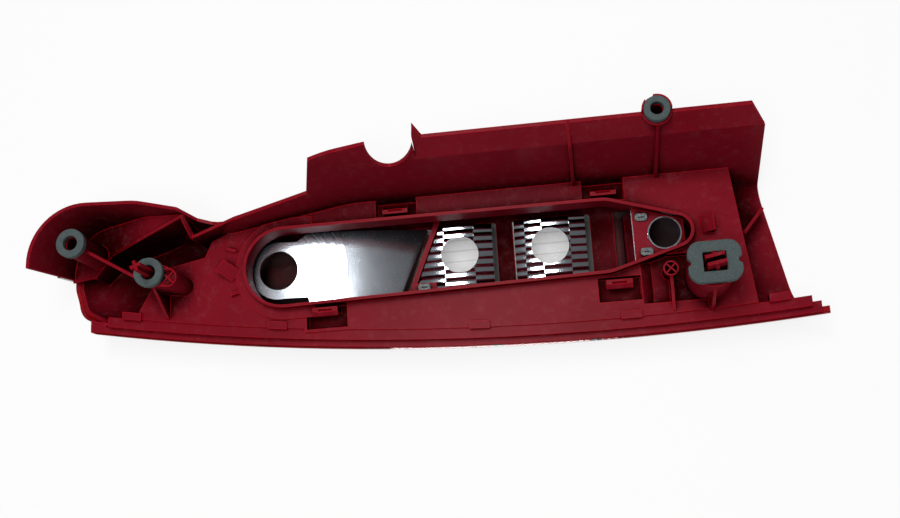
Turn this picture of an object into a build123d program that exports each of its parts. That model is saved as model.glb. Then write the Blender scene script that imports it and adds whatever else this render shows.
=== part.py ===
from build123d import *
import os
from math import cos, radians, sin, sqrt, tan

os.makedirs("parts", exist_ok=True)

# Rear lamp cluster in millimetres. It lies on its lens, with its back up.
# Plan positions are measured from the datum, near the middle of the carrier opening.
DATUM_X = 38.3
DATUM_Y = -3.7
CUT_REACH = 400.0

# Walls and levels, counted up from the lens face
LENS_THICKNESS = 3.0
FIT_GAP = 0.3
WALL = 2.4
RIB = 2.2
PLATE_TOP = 46.0
PLATE_THICKNESS = 2.5
COLLAR_TOP = 54.0
COLLAR_FOOT = 36.0
SHELF_TOP = 45.0
SHELF_THICKNESS = 2.5
LENS_RIM = 36.0

# Tub: the corners of its plan at plate level with their rounds, the lean of its wall, its bottom round
WALL_LEAN = 12.5
BOTTOM_ROUND = 18.0
FRONT_RIGHT = (262, -59.6)
FRONT_MIDDLE = (-6, -64.2)
FRONT_LEFT = (-293, -31)
BACK_CORNERS = (
    (262, 48.4), (-88, 48.4), (-184, 33), (-248, 49.5), (-326, 53.5), (-326, 4), (-319, -20),
)
BACK_ROUNDS = (26, 90, 40, 50, 38, 26, 22)
FRONT_LIMIT = -18.0
FRONT_WALL_TOP = 42.5
END_X = 227.5
END_SLANT = 11.0
LEFT_SILL = 14.0
LEFT_SILL_BACK = 11.0
LEFT_SILL_FRONT = -4.0
LEFT_END_X = -285.0

# Rim of the back wall as points along the lamp and up, from the lobe to the tall wall
LOBE_RIM = 76.0
RIM_LINE = (
    (-214, LOBE_RIM), (-203, 62), (-192, 60), (-180, 61.5), (-168, 66),
    (-114.4, 75), (-102.4, 117), (-60.5, 126.5),
)
CREASE_Z = 101.0
STRIP_RISE = 17.0
STRIP_LEAN = 30.0
STRIP_LEFT = -27.0
STRIP_RIGHT = 206.6
STRIP_FOOT_RIGHT = 215.6
EAR_RISE = 9.5
EAR_TIP = 2.0
EAR_WIDTH = 7.0
NOTCH_X = -42.4
NOTCH_HALF = 16.6
NOTCH_DEPTH = 32.5
NOTCH_LEAN = 11.5

# Webs inside the lobe: their plan points and the height of their rim at each. The ramp lies behind them.
WEB_POINTS = ((-168, 39.5), (-207, 27), (-211, 41), (-280.4, 24.6), (-297.9, 9))
WEB_RIMS = (66, 62, 74, 39.6, 31.9)
RAMP_HIGH = (-209, 71)
RAMP_LOW = (-330, 17.8)

# Carrier opening: place and radius of the rounds at its left end, its shoulder and its nose
OPENING_ROUNDS = ((-139.5, -0.3, 31.2), (100, 1.7, 28.3), (152.5, 1.2, 13.2))
COLLAR_WALL = 2.2
STEP_RING = 8.0
STEP_RING_RISE = 1.2
STEP_RING_END = -118.0

# Platform: the flat plate that stands over the light chamber
PLATE_CORNERS = ((-256, -24), (-246, -8), (-231, 8.5), (-203, 14), (-197, 26), (-174, 35.5))
PLATE_ROUND = 9.0
PLATE_RIGHT_BACK = (195.5, 45)
PLATE_RIGHT_FRONT = (205.5, -55)
WINDOWS = ((-230, 19), (32, 92), (110, 184))
WINDOW_BACK = 31.0
WINDOW_FRONT = -39.0
WINDOW_ROUND = 2.0
WINDOW_HEIGHT = 22.0

# Flange along the front edge, in three steps down to the lens lip
FLANGE_WIDTH = 7.6
FLANGE_TOP = 44.5
LEDGE_WIDTH = 4.5
LEDGE_TOP = 40.0
LIP_WIDTH = 5.8
LIP_THICKNESS = 3.0
FLANGE_LEFT = -281.0
LEDGE_LEFT = -297.0
LIP_LEFT = -299.0
FLANGE_RIGHT = 243.0
LEDGE_RIGHT = 250.0
LIP_RIGHT = 256.0
TAB_WIDTH = 15.0
TAB_DEPTH = 4.8
TAB_RISE = 1.8
TAB_PLACES = (-261, -147, 5, 115.5, 220.5)

# Bulb holes and the chambers behind them
BULB_HOLE = 28.5
STOP_HOLE = 30.5
STOP_BULB = (-149.4, 2.3)
INDICATOR_BULB = (-8.1, 2.6)
REVERSING_BULB = (60.7, 3.2)
FOG_BULB = (145.0, 1.5)
FOG_HOLE = 25.0
DIVIDER_X = -36.3
DIVIDER_SLANT = 22.9
DIVIDER_THICKNESS = 3.5
DIVIDER_TOP = 30.5
FOG_SPLIT_X = 104.0
SHELF_LEFT = 122.5
SHELF_RIGHT = 159.0

# Clip pockets beside the collar: middle along the lamp, middle across it, and the side that faces out
POCKET_WIDTH = 31.0
POCKET_DEPTH = 18.0
POCKET_FLOOR = COLLAR_FOOT + RIB
POCKETS = ((-109, -39.5, -1), (109, -37.5, -1), (-52.5, 39.5, 1), (103, 38.5, 1))
TONGUE_WIDTH = 19.0
TONGUE_THICKNESS = 3.0
TONGUE_TOP = 52.0
TONGUE_LIP = 3.4
TONGUE_SLOT_WIDTH = 11.0
TONGUE_SLOT_DEPTH = 1.6

# Deep pocket beside the nose
DEEP_POCKET_LEFT = 125.0
DEEP_POCKET_SLOPE = 8.0
DEEP_POCKET_RIGHT = 168.0
DEEP_POCKET_BACK = -15.0
DEEP_POCKET_FRONT = -50.0
DEEP_POCKET_FLOOR = COLLAR_FOOT + RIB

# Fixing bosses: place, top level and sizes
LEFT_BOSS = (-293.2, 24.8)
LEFT_BOSS_TOP = 80.5
LEFT_BOSS_FOOT = 28.0
PIN_BOSS = (-231.9, -3.3)
PIN_BOSS_TOP = 82.5
CROSS_BOSS = (-219.0, -7.3)
CROSS_BOSS_RADIUS = 7.0
CROSS_TURN = 45
PIN_TOP = 111.0
PIN_TURN = 20
TOP_BOSS = (142.6, 69.3)
TOP_BOSS_TOP = 120.5
TOP_BOSS_FOOT = 88.0
CLIP_BOSS = (172.0, -34.4)
CLIP_BOSS_TOP = 96.0
TUBE_BOSS = (146.0, -27.4)
TUBE_BOSS_TOP = 56.0
TUBE_BOSS_RADIUS = 5.5
BOSS_RADIUS = 9.5
BOSS_BORE = 10.0
TOP_BORE = 8.0
BORE_DEPTH = 24.0
TOP_BOSS_RADIUS = 7.8
CLIP_BOSS_RADIUS = 16.5
PRONG_WIDTH = 13.0
PRONG_THICKNESS = 2.2
PRONG_PITCH = 7.4
PRONG_TURN = 10.0
PRONG_SPINE = 2.4
PRONG_TOP = 110.0
BARB_HEIGHT = 7.5
BARB_REACH = 1.4

# Ribs and hooks
WALL_RIB_X = 82.0
CLIP_RIB_RISE = 19.2
LOBE_RIB_END = (-233, -11.5)
LOBE_RIB_TOP = 74.0
END_RIB_START = (204, 0)
END_RIB_END = (219.5, 18)
END_RIB_TOP = 28.0
# Hooks: middle, length, width, height and turn
HOOKS = (
    (-183.5, 1.2, 14.0, 10.5, 8.0, -38),
    (176, 5, 9.0, 13.0, 8.0, 180),
    (-178.5, -16, 7.0, 3.0, 4.0, 20),
)
MARK_RIB = ((-185, 19), (-177.5, 16.5))
MARK_RIB_RISE = 2.0
HOOK_TOE = 1.0

# Foam seals
RING_OUTSIDE = 22.0
RING_HOLE = 11.0
RING_THICKNESS = 5.5
TOP_RING_OUTSIDE = 18.0
TOP_RING_HOLE = 9.0
PAD_WIDTH = 36.0
PAD_DEPTH = 28.7
PAD_THICKNESS = 6.0
PAD_ROUND = 8.5
PAD_NOTCH = 2.2
PAD_HOLE_WIDTH = 15.8
PAD_HOLE_DEPTH = 13.4

# Reflectors: the stop dome, the two fluted vaults and the fog box
MIRROR_WALL = 2.0
SIDE_GAP = 0.8
STOP_DOME_TOP = 30.8
STOP_DOME_RADIUS = 270.0
STOP_NECK_RADIUS = 22.5
STOP_CORNERS = (
    (-150, -20), (-127, -20), (-124, -34), (-20, -34),
    (-20, 30.5), (-125, 30.5), (-135, 24), (-150, 24.8),
)
STOP_STEP_RADII = (36, 42, 48, 54)
STOP_STEP_WIDTH = 3.2
STOP_STEP_RISE = 1.4
STOP_STEP_TURN = 45
STOP_FLANK_GAP = 9.0
STOP_FLANK_FOOT = 17.0
STOP_FLANK_SLOPE = 27.0
FLUTE_COUNT = 9
FLUTE_TOP = 30.0
FLUTE_RADIUS = 95.0
FLUTE_SWEEP = 150.0
FLUTE_BULGE = 1.1
FLUTE_FRONT = -33.5
FLUTE_BACK = 26.5
INDICATOR_BREAKS = (-52, -20, 3, 17)
REVERSING_BREAKS = (34, 42, 55, 76, 88)
FOG_LEFT = 122.0
FOG_RIGHT = 158.5
FOG_LEAN = 12.0
NECK_GAP = 0.2
NECK_WALL = 1.0
NECK_RISE = 0.8
STUD_PLACES = ((129, 14.5), (131, -11.6), (-34.2, -24))
STUD_LENGTH = 9.0
STUD_WIDTH = 5.5
STUD_RISE = 1.6
STUD_ROUND = 2.0
STUD_SHANK = 3.0
STUD_SLOT = 0.8
LUG_LENGTH = 18.0
LUG_BACK = -20.5

# Levels that follow from the sizes above
LENS_FLOOR = LENS_THICKNESS
TUB_BOTTOM = LENS_FLOOR + FIT_GAP
TUB_FLOOR = TUB_BOTTOM + WALL
SHELF_FOOT = SHELF_TOP - SHELF_THICKNESS
PLATE_UNDERSIDE = PLATE_TOP - PLATE_THICKNESS
TALL_RIM = RIM_LINE[-1][1]
STRIP_TOP = CREASE_Z + STRIP_RISE
EAR_TOP = STRIP_TOP + EAR_RISE


def level(z):
    """Plan plane at a height, with the datum as its middle."""
    return Plane((DATUM_X, DATUM_Y, z))


def elevation(y=0):
    """Upright plane along the lamp: its axes run along the lamp and up."""
    return Plane((DATUM_X, DATUM_Y + y, 0), x_dir=(1, 0, 0), z_dir=(0, -1, 0))


def profile(x):
    """Upright plane across the lamp: its axes run to the back wall and up."""
    return Plane((DATUM_X + x, DATUM_Y, 0), x_dir=(0, 1, 0), z_dir=(1, 0, 0))


def upright(x, slant):
    """Upright plane across the lamp that faces right, turned about the vertical by an angle."""
    return Plane((DATUM_X + x, DATUM_Y, 0), z_dir=Vector(1, 0, 0).rotate(Axis.Z, slant))


def lean_over(height):
    """How far the tub wall moves out over a height."""
    return height * tan(radians(WALL_LEAN))


def tub_face(outset):
    """Plan of the tub at plate level, moved out by a distance."""
    with BuildSketch(mode=Mode.PRIVATE) as plan:
        with BuildLine():
            FilletPolyline(FRONT_RIGHT, *BACK_CORNERS, FRONT_LEFT, radius=BACK_ROUNDS)
            ThreePointArc(FRONT_LEFT, FRONT_MIDDLE, FRONT_RIGHT)
        make_face()
        if outset:
            offset(amount=outset)
    return plan.sketch


def front_band(inner, outer, left, right):
    """Strip along the front edge between two distances from the tub's outline."""
    with BuildSketch(mode=Mode.PRIVATE) as strip:
        add(tub_face(outer))
        add(tub_face(inner), mode=Mode.SUBTRACT)
        with Locations(((left + right) / 2, FRONT_LIMIT - CUT_REACH / 2)):
            Rectangle(right - left, CUT_REACH, mode=Mode.INTERSECT)
    return strip.sketch


def bowl(bottom, top, outset, corner):
    """Leaning bowl that follows the tub, with a rounded bottom edge."""
    with BuildPart(mode=Mode.PRIVATE) as body:
        with BuildSketch(level(bottom)):
            add(tub_face(outset - lean_over(PLATE_TOP - bottom)))
        extrude(amount=top - bottom, taper=-WALL_LEAN)
        fillet(body.edges().group_by(Axis.Z)[0], corner)
    return body.part


def opening_face(outset):
    """Plan of the carrier opening's collar, moved out by a distance."""
    with BuildSketch(mode=Mode.PRIVATE) as plan:
        for x, y, radius in OPENING_ROUNDS:
            with Locations((x, y)):
                Circle(radius + outset)
        make_hull()
    return plan.sketch


def plate_face(outset):
    """Plan of the platform, drawn past the tub wall on its back, front and right."""
    reach = CUT_REACH / 4
    right = Vector(*PLATE_RIGHT_BACK) - Vector(*PLATE_RIGHT_FRONT)
    slant = right.X / right.Y
    with BuildSketch(mode=Mode.PRIVATE) as plan:
        with BuildLine():
            Polyline(
                (PLATE_CORNERS[0][0], -reach), *PLATE_CORNERS, (PLATE_CORNERS[-1][0], reach),
                (PLATE_RIGHT_BACK[0] + slant * (reach - PLATE_RIGHT_BACK[1]), reach),
                (PLATE_RIGHT_FRONT[0] - slant * (reach + PLATE_RIGHT_FRONT[1]), -reach), close=True,
            )
        make_face()
        fillet(plan.vertices().group_by(Axis.X)[0].sort_by(Axis.Y)[-1:], PLATE_ROUND)
        if outset:
            offset(amount=outset)
    return plan.sketch


def column(place, radius, bottom, top):
    """Round post that stands upright."""
    with BuildPart(mode=Mode.PRIVATE) as post:
        with BuildSketch(level(bottom)):
            with Locations(place):
                Circle(radius)
        extrude(amount=top - bottom)
    return post.part


def cross(place, span, thickness, bottom, top, turn):
    """Post with a cross-shaped section, turned about the vertical."""
    with BuildPart(mode=Mode.PRIVATE) as post:
        with BuildSketch(level(bottom)):
            with Locations(place):
                Rectangle(span, thickness, rotation=turn)
                Rectangle(thickness, span, rotation=turn)
        extrude(amount=top - bottom)
    return post.part


def rib(x, thickness, *points):
    """Flat rib across the lamp, from its outline in depth and height."""
    with BuildPart(mode=Mode.PRIVATE) as web:
        with BuildSketch(profile(x)):
            with BuildLine():
                Polyline(*points, close=True)
            make_face()
        extrude(amount=thickness / 2, both=True)
    return web.part


def wall_y(z):
    """Depth of the back wall's middle at a height, up its lean and then its flared strip."""
    leaning = BACK_CORNERS[0][1] - WALL / 2 + lean_over(min(z, CREASE_Z) - PLATE_TOP)
    return leaning + max(z - CREASE_Z, 0) * tan(radians(STRIP_LEAN))


def plan_rib(start, end, bottom, top):
    """Upright rib between two plan points."""
    with BuildPart(mode=Mode.PRIVATE) as web:
        with BuildSketch(level(bottom)):
            with BuildLine() as path:
                Line(start, end)
            trace(path.line, line_width=RIB)
        extrude(amount=top - bottom)
        add(envelope, mode=Mode.INTERSECT)
    return web.part


def hook(x, y, length, width, rise, turn):
    """Hook on the platform: a wedge that is high at its left end, turned about the vertical."""
    along = Vector(1, 0, 0).rotate(Axis.Z, turn)
    with BuildPart(mode=Mode.PRIVATE) as block:
        middle = (DATUM_X + x, DATUM_Y + y, 0)
        with BuildSketch(Plane(middle, x_dir=along, z_dir=along.rotate(Axis.Z, -90))):
            with BuildLine():
                Polyline(
                    (-length / 2, PLATE_UNDERSIDE), (length / 2, PLATE_UNDERSIDE),
                    (length / 2, PLATE_TOP + HOOK_TOE), (-length / 2, PLATE_TOP + rise), close=True,
                )
            make_face()
        extrude(amount=width / 2, both=True)
    return block.part


def prong(width, side, reach):
    """Barbed prong of the snap clip on one side of the clip's middle."""
    face = side * PRONG_PITCH / 2
    inner = face - side * PRONG_THICKNESS
    foot = PRONG_TOP - BARB_HEIGHT
    along = Vector(1, 0, 0).rotate(Axis.Z, PRONG_TURN)
    middle = (DATUM_X + CLIP_BOSS[0], DATUM_Y + CLIP_BOSS[1], 0)
    with BuildPart(mode=Mode.PRIVATE) as blade:
        with BuildSketch(Plane(middle, x_dir=along.rotate(Axis.Z, 90), z_dir=along)):
            with BuildLine():
                Polyline(
                    (inner, PLATE_UNDERSIDE), (inner, PRONG_TOP), (face, PRONG_TOP),
                    (face + side * reach, foot + RIB), (face + side * reach, foot),
                    (face, foot), (face, PLATE_UNDERSIDE), close=True,
                )
            make_face()
        extrude(amount=width / 2, both=True)
    return blade.part


def deep_pocket(wall):
    """Sloped pocket that stands a wall's thickness outside its own space."""
    with BuildPart(mode=Mode.PRIVATE) as pocket:
        with BuildSketch(elevation(DEEP_POCKET_BACK)):
            with BuildLine():
                Polyline(
                    (DEEP_POCKET_LEFT - wall, PLATE_TOP),
                    (DEEP_POCKET_LEFT + DEEP_POCKET_SLOPE - wall, DEEP_POCKET_FLOOR - wall),
                    (DEEP_POCKET_RIGHT + wall, DEEP_POCKET_FLOOR - wall),
                    (DEEP_POCKET_RIGHT + wall, PLATE_TOP), close=True,
                )
            make_face()
        extrude(amount=DEEP_POCKET_BACK - DEEP_POCKET_FRONT + wall)
        with BuildSketch(level(0)):
            add(opening_face(0))
        extrude(amount=CUT_REACH, mode=Mode.SUBTRACT)
    return pocket.part


def clip_pockets(wall):
    """Four square pockets that stand a wall's thickness outside their own space."""
    with BuildPart(mode=Mode.PRIVATE) as pockets:
        with BuildSketch(level(POCKET_FLOOR - wall)):
            with Locations(*[(x, y) for x, y, side in POCKETS]):
                Rectangle(POCKET_WIDTH + 2 * wall, POCKET_DEPTH + 2 * wall)
            add(opening_face(0), mode=Mode.SUBTRACT)
        extrude(amount=PLATE_TOP - POCKET_FLOOR + wall)
        add(cavity, mode=Mode.INTERSECT)
    return pockets.part


def stop_body(inset):
    """Dome of the stop reflector with its flank, drawn in by a distance."""
    foot = DIVIDER_THICKNESS / 2 + STOP_FLANK_GAP + inset
    slope = radians(STOP_FLANK_SLOPE)
    facing = DIVIDER_PLANE.z_dir * sin(slope) + Vector(0, 0, cos(slope))
    start = DIVIDER_PLANE.origin - DIVIDER_PLANE.z_dir * foot + Vector(0, 0, STOP_FLANK_FOOT - inset)
    with BuildPart(mode=Mode.PRIVATE) as dome:
        with BuildSketch(level(0)):
            with BuildLine():
                Polyline(*STOP_CORNERS, close=True)
            make_face()
            with Locations(STOP_BULB):
                Circle(STOP_NECK_RADIUS)
            if inset:
                offset(amount=-inset)
        extrude(amount=LENS_RIM)
        split(bisect_by=Plane(start, z_dir=facing), keep=Keep.BOTTOM)
        split(bisect_by=Plane(start, z_dir=DIVIDER_PLANE.z_dir), keep=Keep.BOTTOM)
    return dome.part


def fog_body(inset, top):
    """Fog reflector inside the collar's nose with a leaning left side, drawn in by a distance."""
    lean = radians(FOG_LEAN)
    left = Plane((DATUM_X + FOG_LEFT + inset, DATUM_Y, top), z_dir=(-cos(lean), 0, sin(lean)))
    with BuildPart(mode=Mode.PRIVATE) as body:
        with BuildSketch(level(0)):
            add(opening_face(-COLLAR_WALL - SIDE_GAP - inset))
        extrude(amount=top)
        split(bisect_by=left, keep=Keep.BOTTOM)
        split(bisect_by=upright(FOG_RIGHT - inset, 0), keep=Keep.BOTTOM)
    return body.part


def crescent(radius):
    """Plan of one raised step on the stop reflector: widest away from the lens's left end."""
    with BuildSketch(mode=Mode.PRIVATE) as sickle:
        with Locations(STOP_BULB):
            Circle(radius)
        with Locations(Vector(*STOP_BULB) - Vector(STOP_STEP_WIDTH, 0).rotate(Axis.Z, STOP_STEP_TURN)):
            Circle(radius, mode=Mode.SUBTRACT)
    return sickle.sketch


def stop_ball(rise):
    """Ball that shapes the top of the stop reflector, larger by a distance."""
    middle = (DATUM_X + STOP_BULB[0], DATUM_Y + STOP_BULB[1], STOP_DOME_TOP - STOP_DOME_RADIUS)
    with BuildPart(mode=Mode.PRIVATE) as ball:
        with Locations(middle):
            Sphere(STOP_DOME_RADIUS + rise)
    return ball.part


def vault(middle, rim, bulge):
    """Solid of revolution about an axis across the lamp, with an arc between each pair of rim points."""
    axis_z = FLUTE_TOP - FLUTE_SWEEP
    with BuildPart(mode=Mode.PRIVATE) as drum:
        with BuildSketch(profile(middle)):
            with BuildLine():
                for start, end in zip(rim, rim[1:]):
                    SagittaArc(start, end, bulge)
                Polyline(rim[-1], (rim[-1][0], axis_z), (rim[0][0], axis_z), rim[0])
            make_face()
        revolve(axis=Axis((DATUM_X + middle, DATUM_Y, axis_z), (0, 1, 0)))
    return drum.part


def vault_point(y, inset):
    """Point of the vault's profile at a depth, drawn in by a distance."""
    across = y - (FLUTE_FRONT + FLUTE_BACK) / 2
    return y, FLUTE_TOP - FLUTE_RADIUS + sqrt((FLUTE_RADIUS - inset) ** 2 - across**2)


def fluted_length(left, right, middle, shift, bulb):
    """One length of a fluted vault round a bulb hole, its flutes shifted by a share of their pitch."""
    pitch = (FLUTE_BACK - FLUTE_FRONT) / FLUTE_COUNT
    first = FLUTE_FRONT - shift * pitch
    rim = [vault_point(first + step * pitch, 0) for step in range(FLUTE_COUNT + 2)]
    with BuildPart(mode=Mode.PRIVATE) as length:
        add(vault(middle, rim, FLUTE_BULGE))
        with BuildSketch(level(0)):
            with Locations(((left + right) / 2, (FLUTE_FRONT + FLUTE_BACK) / 2)):
                Rectangle(right - left, FLUTE_BACK - FLUTE_FRONT)
            with Locations(bulb):
                Circle(BULB_HOLE / 2, mode=Mode.SUBTRACT)
        extrude(amount=LENS_RIM, mode=Mode.INTERSECT)
    return length.part


def fluted_body(breaks, bulb):
    """Fluted vault whose flutes shift by half a pitch at each break."""
    middle = (breaks[0] + breaks[-1]) / 2
    with BuildPart(mode=Mode.PRIVATE) as body:
        for index, (left, right) in enumerate(zip(breaks, breaks[1:])):
            add(fluted_length(left, right, middle, index % 2 / 2, bulb))
    return body.part


def fluted_core(breaks):
    """Plain space under a fluted vault."""
    front = vault_point(FLUTE_FRONT + MIRROR_WALL, MIRROR_WALL)
    back = vault_point(FLUTE_BACK - MIRROR_WALL, MIRROR_WALL)
    with BuildPart(mode=Mode.PRIVATE) as core:
        add(vault((breaks[0] + breaks[-1]) / 2, (front, back), FLUTE_TOP - MIRROR_WALL - front[1]))
        with BuildSketch(level(0)):
            with Locations(((breaks[0] + breaks[-1]) / 2, (FLUTE_FRONT + FLUTE_BACK) / 2)):
                Rectangle(breaks[-1] - breaks[0] - 2 * MIRROR_WALL, CUT_REACH)
        extrude(amount=LENS_RIM, mode=Mode.INTERSECT)
    return core.part


# Planes and bodies that several sub-parts share
END_PLANE = upright(END_X, END_SLANT)
DIVIDER_PLANE = upright(DIVIDER_X, -DIVIDER_SLANT)
FOG_PLANE = upright(FOG_SPLIT_X, 0)
envelope = bowl(TUB_BOTTOM, TALL_RIM, 0, BOTTOM_ROUND)
cavity = bowl(TUB_FLOOR, TALL_RIM + 1, -WALL, BOTTOM_ROUND - WALL)
lens_core = bowl(LENS_FLOOR, COLLAR_TOP, 0, BOTTOM_ROUND)
lens_outside = bowl(0, LENS_RIM, LENS_THICKNESS + FIT_GAP, BOTTOM_ROUND + LENS_THICKNESS)
lens_inside = bowl(LENS_FLOOR, LENS_RIM + 1, FIT_GAP, BOTTOM_ROUND + FIT_GAP)

# Cut that opens the tub's left end down to its floor
with BuildPart() as left_end_cut:
    sill_round = FRONT_WALL_TOP - LEFT_SILL
    round_top = (LEFT_SILL_FRONT - sill_round, FRONT_WALL_TOP)
    with BuildSketch(profile(LEFT_END_X)):
        with BuildLine():
            Polyline(
                (-CUT_REACH, FRONT_WALL_TOP), (-CUT_REACH, CUT_REACH), (LEFT_SILL_BACK, CUT_REACH),
                (LEFT_SILL_BACK, LEFT_SILL), (LEFT_SILL_FRONT, LEFT_SILL),
            )
            RadiusArc((LEFT_SILL_FRONT, LEFT_SILL), round_top, sill_round)
            Line(round_top, (-CUT_REACH, FRONT_WALL_TOP))
        make_face()
    extrude(amount=-CUT_REACH)

# Leaning tub wall with its rim line, its flared strip and its cuts
with BuildPart() as tub:
    add(envelope)
    add(cavity, mode=Mode.SUBTRACT)
    with BuildSketch(elevation()):
        with BuildLine():
            Polyline(
                (-CUT_REACH, CUT_REACH), (-CUT_REACH, LOBE_RIM), *RIM_LINE, (STRIP_LEFT, TALL_RIM),
                (STRIP_LEFT, CREASE_Z), (CUT_REACH, CREASE_Z), (CUT_REACH, CUT_REACH), close=True,
            )
        make_face()
    extrude(amount=CUT_REACH, both=True, mode=Mode.SUBTRACT)
    crease_y = BACK_CORNERS[0][1] + lean_over(CREASE_Z - PLATE_TOP)
    flare = (EAR_TOP - CREASE_Z) * tan(radians(STRIP_LEAN))
    with BuildSketch(profile(STRIP_LEFT)):
        with BuildLine():
            Polyline(
                (crease_y, CREASE_Z), (crease_y + flare, EAR_TOP),
                (crease_y + flare - WALL, EAR_TOP), (crease_y - WALL, CREASE_Z), close=True,
            )
        make_face()
    extrude(amount=CUT_REACH)
    with BuildSketch(elevation()):
        with BuildLine():
            Polyline(
                (STRIP_LEFT + EAR_TIP, CUT_REACH), (STRIP_LEFT + EAR_TIP, EAR_TOP),
                (STRIP_LEFT + EAR_WIDTH, STRIP_TOP), (STRIP_RIGHT, STRIP_TOP), (STRIP_FOOT_RIGHT, CREASE_Z),
                (CUT_REACH, CREASE_Z), (CUT_REACH, CUT_REACH), close=True,
            )
        make_face()
        with Locations((NOTCH_X, TALL_RIM)):
            Ellipse(NOTCH_HALF, NOTCH_DEPTH, rotation=-NOTCH_LEAN)
    extrude(amount=CUT_REACH, both=True, mode=Mode.SUBTRACT)
    with BuildSketch(profile(0)):
        with Locations((FRONT_LIMIT - CUT_REACH / 2, FRONT_WALL_TOP + CUT_REACH / 2)):
            Rectangle(CUT_REACH, CUT_REACH)
    extrude(amount=CUT_REACH, both=True, mode=Mode.SUBTRACT)
    add(left_end_cut.part, mode=Mode.SUBTRACT)
    split(bisect_by=END_PLANE, keep=Keep.BOTTOM)
    with BuildSketch(level(0)):
        for left, right in WINDOWS:
            with Locations(((left + right) / 2, (WINDOW_BACK + WINDOW_FRONT) / 2)):
                RectangleRounded(right - left, WINDOW_BACK - WINDOW_FRONT, WINDOW_ROUND)
        add(plate_face(-2 * RIB), mode=Mode.INTERSECT)
    extrude(amount=WINDOW_HEIGHT, mode=Mode.SUBTRACT)

# Platform with its skirt walls
with BuildPart() as platform:
    with BuildSketch(level(TUB_BOTTOM)):
        add(plate_face(0))
    extrude(amount=PLATE_TOP - TUB_BOTTOM)
    with BuildSketch(level(0)):
        add(plate_face(-RIB))
    extrude(amount=PLATE_UNDERSIDE, mode=Mode.SUBTRACT)
    add(envelope, mode=Mode.INTERSECT)

# Webs of the lobe with the ramp between them and the tub wall
with BuildPart() as lobe_webs:
    with BuildSketch(level(TUB_BOTTOM)):
        with BuildLine() as web_line:
            Polyline(*WEB_POINTS)
        trace(web_line.line, line_width=RIB)
    extrude(amount=max(WEB_RIMS) - TUB_BOTTOM)
    with BuildSketch(elevation()):
        with BuildLine():
            rims = [(point[0], rim) for point, rim in zip(WEB_POINTS, WEB_RIMS)]
            Polyline(
                (CUT_REACH, CUT_REACH), (CUT_REACH, WEB_RIMS[0]), *rims, (-CUT_REACH, WEB_RIMS[-1]),
                (-CUT_REACH, CUT_REACH), close=True,
            )
        make_face()
    extrude(amount=CUT_REACH, both=True, mode=Mode.SUBTRACT)

with BuildPart() as lobe_ramp:
    with BuildSketch(level(0)):
        with BuildLine():
            Polyline(
                *WEB_POINTS[2:], (-CUT_REACH, WEB_POINTS[-1][1]), (-CUT_REACH, CUT_REACH),
                (WEB_POINTS[2][0], CUT_REACH), close=True,
            )
        make_face()
    extrude(amount=CUT_REACH)
    with BuildSketch(elevation()):
        with BuildLine():
            Polyline(
                RAMP_HIGH, RAMP_LOW, (RAMP_LOW[0], RAMP_LOW[1] - RIB),
                (RAMP_HIGH[0], RAMP_HIGH[1] - RIB), close=True,
            )
        make_face()
    extrude(amount=CUT_REACH, both=True, mode=Mode.INTERSECT)

with BuildPart() as lobe:
    add(lobe_webs.part)
    add(lobe_ramp.part)
    add(envelope, mode=Mode.INTERSECT)

# Divider between the stop and indicator chambers
with BuildPart() as divider:
    with BuildSketch(DIVIDER_PLANE):
        with Locations((0, (TUB_BOTTOM + PLATE_UNDERSIDE) / 2)):
            Rectangle(CUT_REACH / 2, PLATE_UNDERSIDE - TUB_BOTTOM)
    extrude(amount=DIVIDER_THICKNESS / 2, both=True)
    add(envelope, mode=Mode.INTERSECT)

# Boss that stands on the lobe's ramp
with BuildPart() as left_boss:
    add(column(LEFT_BOSS, BOSS_RADIUS, LEFT_BOSS_FOOT, LEFT_BOSS_TOP))
    add(envelope, mode=Mode.INTERSECT)

# Boss with the locating pin, joined to the smaller cross boss
with BuildPart() as pin_boss:
    with BuildSketch(level(PLATE_UNDERSIDE)):
        with Locations(PIN_BOSS):
            Circle(BOSS_RADIUS)
        with Locations(CROSS_BOSS):
            Circle(CROSS_BOSS_RADIUS)
        make_hull()
    extrude(amount=PIN_BOSS_TOP - PLATE_UNDERSIDE)
    add(column(PIN_BOSS, BOSS_BORE / 2, PIN_BOSS_TOP - BORE_DEPTH, PIN_BOSS_TOP), mode=Mode.SUBTRACT)
    well = CROSS_BOSS_RADIUS - RIB / 2
    well_floor = PIN_BOSS_TOP - RIB
    add(column(CROSS_BOSS, well, well_floor, PIN_BOSS_TOP), mode=Mode.SUBTRACT)
    add(cross(CROSS_BOSS, 2 * well, RIB / 2, well_floor, PIN_BOSS_TOP - RIB / 4, CROSS_TURN))
    add(cross(PIN_BOSS, BOSS_BORE - RIB, RIB, PIN_BOSS_TOP - BORE_DEPTH, PIN_TOP, PIN_TURN))

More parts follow.
